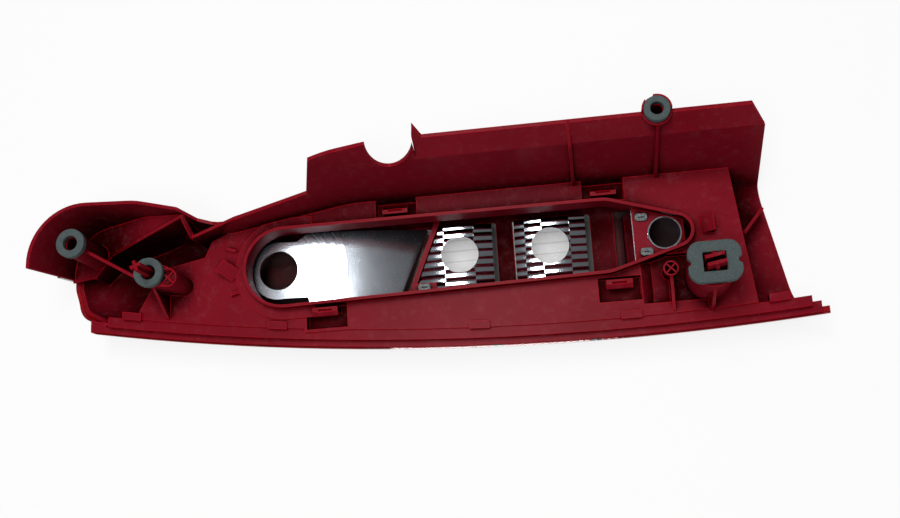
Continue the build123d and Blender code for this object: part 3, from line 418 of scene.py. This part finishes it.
class LAMP_OT_lenses(bpy.types.Operator):
    """Dresses the red and clear lenses"""

    bl_idname = "lamp.lenses"
    bl_label = "Lenses"

    def lens(self, look, name, colour, dark, weight, depth, shade_bands=()):
        """Moulded lens with prisms, grooves and a red front rim, painted dark as shade where it lies deep and
        in bands along the lamp, with painted shade lines along the grooves.
        """
        finish = Finish(name)
        leaving = finish.node("ShaderNodeNewGeometry", output="Backfacing")
        # Painted shade: the lens is painted dark where it lies deep inside the housing; the face that a ray
        # leaves by is spared.
        shade = leaving.math("MAXIMUM", leaving, finish.clamp(finish.openness(LENS_SHADE_REACH), *depth))
        # Painted shade: dark bands across the clear lens at the given places.
        for band_middle in shade_bands:
            shade = shade * finish.clamp(abs(finish.axis("X") - band_middle), look.weld, look.weld + BAND_FADE)
        outside = finish.clamp(finish.openness(LENS_GLOSS_REACH), 0.3, 0.6)
        across = finish.axis("Y")
        flutes = across.math("PINGPONG", across + look.groove, look.flute / 2)
        groove = finish.clamp(flutes, 0.0, look.groove)
        rim = finish.clamp(0 - across, look.rim, look.rim + RIM_FADE)
        tint = finish.mix(rim, solid(colour), solid(look.red))
        prisms = finish.node(
            "ShaderNodeTexVoronoi", {"feature": "SMOOTH_F1", "distance": "CHEBYCHEV"},
            {"Vector": finish.place, "Scale": 1 / look.prism, "Randomness": 0.0, "Smoothness": 0.3},
        )
        smear = finish.noise(40.0, 4.0)
        return finish.feed(
            # Painted shade lines along the grooves, and painted shade where the lens lies deep.
            Base_Color=finish.mix(shade * (0.5 + groove * 0.5), scaled(colour, dark), tint),
            Roughness=0.5 - outside * 0.44 + smear * 0.06,
            IOR=LENS_IOR,
            Specular_IOR_Level=0.05,
            Transmission_Weight=weight,
            Coat_Weight=outside,
            Normal=finish.bump(prisms, 0.25, PRISM_DEPTH),
        )

    def execute(self, context):
        look = context.scene.lamp_optics
        red = self.lens(look, "red lens", look.red, dark=0.03, weight=0.08, depth=(0.2, 0.7))
        clear = self.lens(
            look, "clear lens", look.clear, dark=0.02, weight=1.0, depth=(0.06, 0.2), shade_bands=look.shade_bands
        )
        for node in ("stop_lens", "fog_lens"):
            dress(node, red)
        dress("clear_lens", clear)
        return {"FINISHED"}


class LAMP_OT_reflectors(bpy.types.Operator):
    """Dresses the metallised reflectors"""

    bl_idname = "lamp.reflectors"
    bl_label = "Reflectors"

    def film(self, name, colour, roughness):
        """Metal film with faint smears and specks of dust."""
        finish = Finish(name)
        smear = finish.noise(60.0, 5.0, 0.6)
        specks = finish.clamp(finish.noise(1500.0, 2.0), 0.68, 0.8)
        return finish.feed(
            Base_Color=finish.mix(specks, solid(colour), scaled(colour, 0.8)),
            Metallic=1.0,
            Roughness=roughness + smear * 0.08 + specks * 0.2,
        )

    def execute(self, context):
        look = context.scene.lamp_optics
        dress("stop_reflector", self.film("satin film", look.mirror, 0.17))
        bright = self.film("bright film", look.mirror, 0.06)
        for node in ("indicator_reflector", "reversing_reflector", "fog_reflector"):
            dress(node, bright)
        return {"FINISHED"}


class LAMP_OT_studs(bpy.types.Operator):
    """Dresses the stake studs"""

    bl_idname = "lamp.studs"
    bl_label = "Stake Studs"

    def execute(self, context):
        look = context.scene.lamp_seals
        finish = Finish("dull stud")
        edges, rounded = finish.edges(STUD_EDGE)
        scuff = finish.noise(700.0, 4.0)
        worn = finish.clamp(edges + finish.clamp(scuff, 0.45, 0.7), 0.02, 1.0)
        tone = finish.mix(worn, solid(look.stud), scaled(look.stud, 3.2))
        # Painted shade: the slots are painted near black, according to how open they lie.
        slot = finish.clamp(finish.openness(STUD_SLOT_REACH), 0.5, 0.9)
        finish.feed(
            Base_Color=finish.mix(slot, solid(STUD_SLOT_SHADE_COLOUR), tone),
            Metallic=0.4,
            Roughness=0.45 + scuff * 0.25,
            Normal=finish.bump(scuff, 0.3, SCUFF_DEPTH, rounded),
        )
        dress("stake_studs", finish.material)
        return {"FINISHED"}


class LAMP_OT_seals(bpy.types.Operator):
    """Models the foam washers and the foam pad of the clip"""

    bl_idname = "lamp.seals"
    bl_label = "Foam Seals"

    def foam(self, look):
        """Grey foam with fine pits, painted darker as shade."""
        finish = Finish("foam")
        cells = finish.node(
            "ShaderNodeTexVoronoi", {"feature": "F1"}, {"Vector": finish.place, "Scale": 1 / look.cell}
        )
        tone = finish.clamp(finish.noise(260.0, 4.0), 0.3, 0.7)
        colour = finish.mix(tone, solid(look.colour), scaled(look.colour, 1.3))
        pits = finish.clamp(cells, 0.25, 0.6)
        return finish.feed(
            # Painted shade: the pits are painted darker.
            Base_Color=finish.mix(pits * 0.6, colour, scaled(look.colour, 0.62)),
            Roughness=0.95,
            Specular_IOR_Level=0.2,
            Normal=finish.bump(1 - pits, 0.5, PIT_DEPTH),
        )

    def ring(self, name, node, hole, look, material):
        """Washer: a cylinder whose caps are inset and bridged, with soft edges."""
        low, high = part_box(node)
        middle = (low + high) / 2
        outside = (high.x - low.x) / 2
        bpy.ops.object.select_all(action="DESELECT")
        bpy.ops.mesh.primitive_cylinder_add(
            vertices=64, radius=outside, depth=high.z - low.z, location=middle
        )
        piece = bpy.context.object
        bpy.ops.object.mode_set(mode="EDIT")
        bpy.ops.mesh.select_mode(type="FACE")
        select_faces(piece, lambda face: abs(face.normal.z) > 0.9)
        bpy.ops.mesh.inset(thickness=outside - hole, use_individual=True)
        bpy.ops.mesh.bridge_edge_loops()
        select_edges(
            piece, lambda edge: len(edge.link_faces) == 2 and edge.calc_face_angle() > radians(60)
        )
        bpy.ops.mesh.bevel(offset=look.edge, segments=3, profile=0.6)
        bpy.ops.object.mode_set(mode="OBJECT")
        keep_foam(piece, name, node, material)

    def pad(self, look, material):
        """Clip pad: a block with rounded corners, a square hole and a notch in each end."""
        low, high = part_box("clip_seal")
        middle = (low + high) / 2
        span = high - low
        through = span.z * 3
        bpy.ops.object.select_all(action="DESELECT")
        bpy.ops.mesh.primitive_cube_add(size=1, location=middle)
        piece = bpy.context.object
        piece.scale = span
        bpy.ops.object.transform_apply(location=False, rotation=False, scale=True)
        bpy.ops.object.mode_set(mode="EDIT")
        select_edges(piece, lambda edge: abs(edge.verts[0].co.z - edge.verts[1].co.z) > span.z / 2)
        bpy.ops.mesh.bevel(offset=look.corner, segments=10, profile=0.5)
        bpy.ops.object.mode_set(mode="OBJECT")
        bpy.ops.mesh.primitive_cube_add(size=1, location=middle)
        cutters = [bpy.context.object]
        cutters[0].scale = (look.pad_length, look.pad_width, through)
        for side in (-1, 1):
            end = middle + Vector((side * span.x / 2, 0, 0))
            bpy.ops.mesh.primitive_cylinder_add(vertices=24, radius=look.notch, depth=through, location=end)
            cutters.append(bpy.context.object)
        for cutter in cutters:
            apply_modifier(piece, "BOOLEAN", operation="DIFFERENCE", solver="EXACT", object=cutter)
            bpy.data.objects.remove(cutter)
        apply_modifier(
            piece, "BEVEL", width=look.edge, segments=3, limit_method="ANGLE", angle_limit=SHARP_ANGLE
        )
        keep_foam(piece, "clip_pad", "clip_seal", material)

    def execute(self, context):
        look = context.scene.lamp_seals
        material = self.foam(look)
        self.ring("left_washer", "left_ring_seal", look.hole, look, material)
        self.ring("pin_washer", "pin_ring_seal", look.hole, look, material)
        self.ring("top_washer", "top_ring_seal", look.small_hole, look, material)
        self.pad(look, material)
        return {"FINISHED"}


class LAMP_OT_stage(bpy.types.Operator):
    """Sets the floor, the light and the camera"""

    bl_idname = "lamp.stage"
    bl_label = "Stage"

    def world(self, context, look):
        """Studio walls all round: pale near the floor and dark above."""
        world = bpy.data.worlds.new("studio")
        world.use_nodes = True
        context.scene.world = world
        tree = world.node_tree
        plain = tree.nodes["Background"]
        way = tree.nodes.new("ShaderNodeTexCoord")
        split = tree.nodes.new("ShaderNodeSeparateXYZ")
        tree.links.new(way.outputs["Generated"], split.inputs["Vector"])
        height = Sock(tree, split.outputs["Z"])
        low = 1 - height.math("MAXIMUM", height, 0.0)
        level = look.fill + low * low * (look.horizon - look.fill)
        plain.inputs["Color"].default_value = solid(WHITE)
        tree.links.new(level.socket, plain.inputs["Strength"])

    def floor(self, look):
        """Pale floor: white to the camera and in reflections, with a share of its shading left in."""
        bpy.ops.object.select_all(action="DESELECT")
        bpy.ops.mesh.primitive_plane_add(size=FLOOR_SIZE, location=(0, 0, -FLOOR_DROP))
        floor = bpy.context.object
        floor.name = "floor"
        finish = Finish("pale floor")
        finish.feed(Base_Color=solid(look.floor), Roughness=0.9, Specular_IOR_Level=0.1)
        seen = finish.node("ShaderNodeLightPath", output="Is Camera Ray")
        for ray in ("Is Glossy Ray", "Is Transmission Ray"):
            seen = seen + finish.node("ShaderNodeLightPath", output=ray)
        white = finish.node("ShaderNodeEmission", inputs={"Color": solid(WHITE), "Strength": 1.0})
        diffuse = Sock(finish.tree, finish.shader.outputs["BSDF"])
        share = seen.math("MINIMUM", seen, 1.0) * (1 - look.shadow)
        surface = finish.node("ShaderNodeMixShader", inputs={0: share, 1: diffuse, 2: white})
        finish.tree.links.new(surface.socket, finish.tree.nodes["Material Output"].inputs["Surface"])
        floor.data.materials.append(finish.material)

    def key(self, context, look):
        """One soft rectangular light overhead."""
        data = bpy.data.lights.new("key", "AREA")
        data.energy = look.key
        data.shape = "RECTANGLE"
        data.size, data.size_y = KEY_SIZE
        light = bpy.data.objects.new("key", data)
        light.location = KEY_PLACE
        light.rotation_euler = (Vector(KEY_PLACE) - Vector(KEY_AIM)).to_track_quat("Z", "Y").to_euler()
        context.collection.objects.link(light)

    def camera(self, context, look):
        """Camera above the back of the lamp, a little to its front."""
        data = bpy.data.cameras.new("camera")
        data.lens = look.lens
        data.sensor_width = SENSOR_WIDTH
        data.clip_start = CLIP_START
        camera = bpy.data.objects.new("camera", data)
        turn = Matrix(CAMERA_AXES).transposed()
        camera.matrix_world = Matrix.Translation(CAMERA_PLACE) @ turn.to_4x4()
        context.collection.objects.link(camera)
        context.scene.camera = camera

    def execute(self, context):
        look = context.scene.lamp_stage
        context.scene.view_settings.view_transform = "Standard"
        self.world(context, look)
        self.floor(look)
        self.key(context, look)
        self.camera(context, look)
        return {"FINISHED"}


class LAMP_PT_tools(bpy.types.Panel):
    """Lists the lamp's pieces in the sidebar"""

    bl_idname = "LAMP_PT_tools"
    bl_label = "Rear Lamp"
    bl_space_type = "VIEW_3D"
    bl_region_type = "UI"
    bl_category = "Rear Lamp"

    def draw(self, context):
        scene = context.scene
        for group, operators in PIECES:
            box = self.layout.box()
            settings = getattr(scene, group)
            for name in settings.__annotations__:
                box.prop(settings, name)
            for operator in operators:
                box.operator(operator.bl_idname)


PIECES = (
    ("lamp_housing", (LAMP_OT_housing,)),
    ("lamp_optics", (LAMP_OT_lenses, LAMP_OT_reflectors)),
    ("lamp_seals", (LAMP_OT_studs, LAMP_OT_seals)),
    ("lamp_stage", (LAMP_OT_stage,)),
)
GROUPS = {
    "lamp_housing": LampHousing,
    "lamp_optics": LampOptics,
    "lamp_seals": LampSeals,
    "lamp_stage": LampStage,
}
OPERATORS = tuple(operator for group, operators in PIECES for operator in operators)
CLASSES = (*GROUPS.values(), *OPERATORS, LAMP_PT_tools)


def register():
    for entry in CLASSES:
        bpy.utils.register_class(entry)
    for name, group in GROUPS.items():
        setattr(bpy.types.Scene, name, PointerProperty(type=group))


def unregister():
    for name in GROUPS:
        delattr(bpy.types.Scene, name)
    for entry in reversed(CLASSES):
        bpy.utils.unregister_class(entry)


def main():
    register()
    bpy.ops.lamp.housing()
    bpy.ops.lamp.lenses()
    bpy.ops.lamp.reflectors()
    bpy.ops.lamp.studs()
    bpy.ops.lamp.seals()
    bpy.ops.lamp.stage()


if __name__ == "__main__":
    main()
